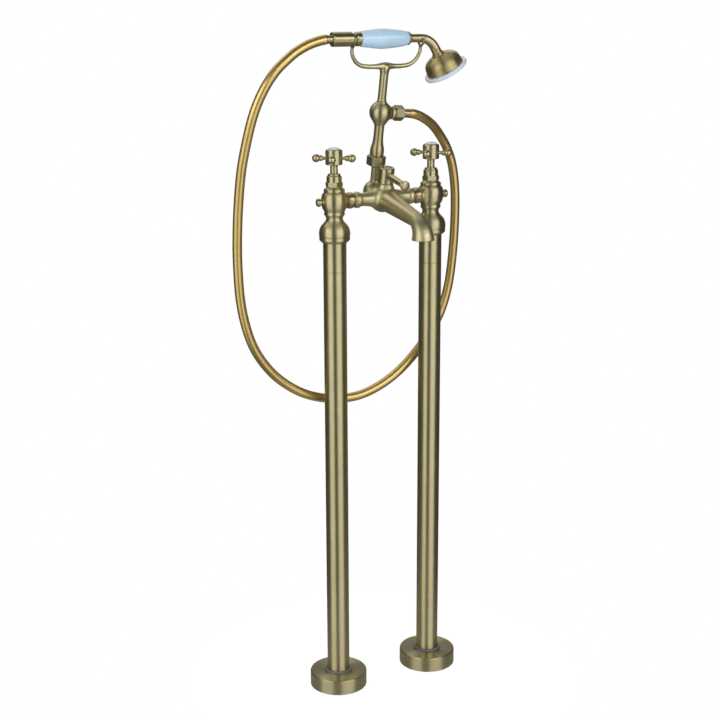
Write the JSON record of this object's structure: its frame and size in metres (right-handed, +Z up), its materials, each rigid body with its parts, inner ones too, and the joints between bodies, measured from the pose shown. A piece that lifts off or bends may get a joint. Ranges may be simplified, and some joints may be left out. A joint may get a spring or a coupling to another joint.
{
  "type": "bath shower mixer",
  "caption": "Floor-standing bath mixer on slim legs, with cross handles, a bridge body, a flared spout, a lever diverter and a hand shower resting on a cradle with its hose.",
  "frame": {"origin": "on the floor, midway between the two legs", "axes": "+X from the hot leg to the cold leg, -Y to the front where the spout points, +Z up"},
  "size_m": [0.3931, 0.1826, 1.0265],
  "materials": {
    "brass": "brushed antique brass",
    "plain_brass": "plain turned brass",
    "hose": "smooth gold sleeve",
    "ceramic": null,
    "disc_ceramic": null,
    "steel": "satin",
    "rubber": "matte"
  },
  "bodies": {
    "stand": {"left_floor_plate": "plain_brass", "right_floor_plate": "plain_brass", "left_leg_tube": "brass", "right_leg_tube": "brass", "left_leg_socket": "brass", "right_leg_socket": "brass", "left_leg_crown": "brass", "right_leg_crown": "brass", "left_supply_pipe": "plain_brass", "right_supply_pipe": "plain_brass", "hot_valve_body": "brass", "cold_valve_body": "brass", "hot_side_finial": "brass", "cold_side_finial": "brass", "hot_union_collar": "brass", "cold_union_collar": "brass", "hot_bonnet": "brass", "cold_bonnet": "brass", "hot_fixed_disc": "disc_ceramic", "cold_fixed_disc": "disc_ceramic", "mixer_body": "brass", "spout_aerator": "steel", "riser_nut": "brass", "riser_washer": "rubber", "riser_tube": "brass", "cradle": "brass", "outlet_washer": "rubber", "outlet_hose_nut": "brass", "outlet_ferrule": "brass", "shower_hose": "hose"},
    "hot_handle": {"hot_moving_disc": "disc_ceramic", "hot_spindle": "plain_brass", "hot_handle_hub": "brass", "hot_handle_arms": "brass", "hot_handle_screw": "steel", "hot_index_cap": "ceramic"},
    "cold_handle": {"cold_moving_disc": "disc_ceramic", "cold_spindle": "plain_brass", "cold_handle_hub": "brass", "cold_handle_arms": "brass", "cold_handle_screw": "steel", "cold_index_cap": "ceramic"},
    "diverter": {"diverter_head": "brass", "diverter_spindle": "plain_brass", "diverter_lever": "brass", "diverter_knob": "brass"},
    "handset": {"handset_ferrule": "brass", "handset_hose_nut": "brass", "grip_tail_ring": "brass", "ceramic_grip": "ceramic", "grip_front_ring": "brass", "handset_tube": "brass", "handset_neck": "brass", "rose_bell": "brass", "rose_rim": "ceramic", "rose_faceplate": "steel"},
    "left_cover": {"left_floor_cover": "brass", "left_cover_ring": "rubber"},
    "right_cover": {"right_floor_cover": "brass", "right_cover_ring": "rubber"}
  },
  "joints": [
    {"name": "hot_handle_turn", "type": "hinge", "parent": "stand", "child": "hot_handle", "pos_m": [-0.0824, 0, 0.8425], "axis": [0, 0, 1], "range_deg": [0, 90]},
    {"name": "cold_handle_turn", "type": "hinge", "parent": "stand", "child": "cold_handle", "pos_m": [0.0824, 0, 0.8425], "axis": [0, 0, 1], "range_deg": [-90, 0]},
    {"name": "diverter_turn", "type": "hinge", "parent": "stand", "child": "diverter", "pos_m": [0, -0.00245, 0.77851], "axis": [0, -0.1942, 0.981], "range_deg": [0, 90]},
    {"name": "handset_lift", "type": "slide", "parent": "stand", "child": "handset", "axis": [0, -0.1942, 0.981], "range_m": [0, 0.1]},
    {"name": "left_cover_slide", "type": "slide", "parent": "stand", "child": "left_cover", "axis": [0, 0, 1], "range_m": [0, 0.06]},
    {"name": "right_cover_slide", "type": "slide", "parent": "stand", "child": "right_cover", "axis": [0, 0, 1], "range_m": [0, 0.06]}
  ]
}
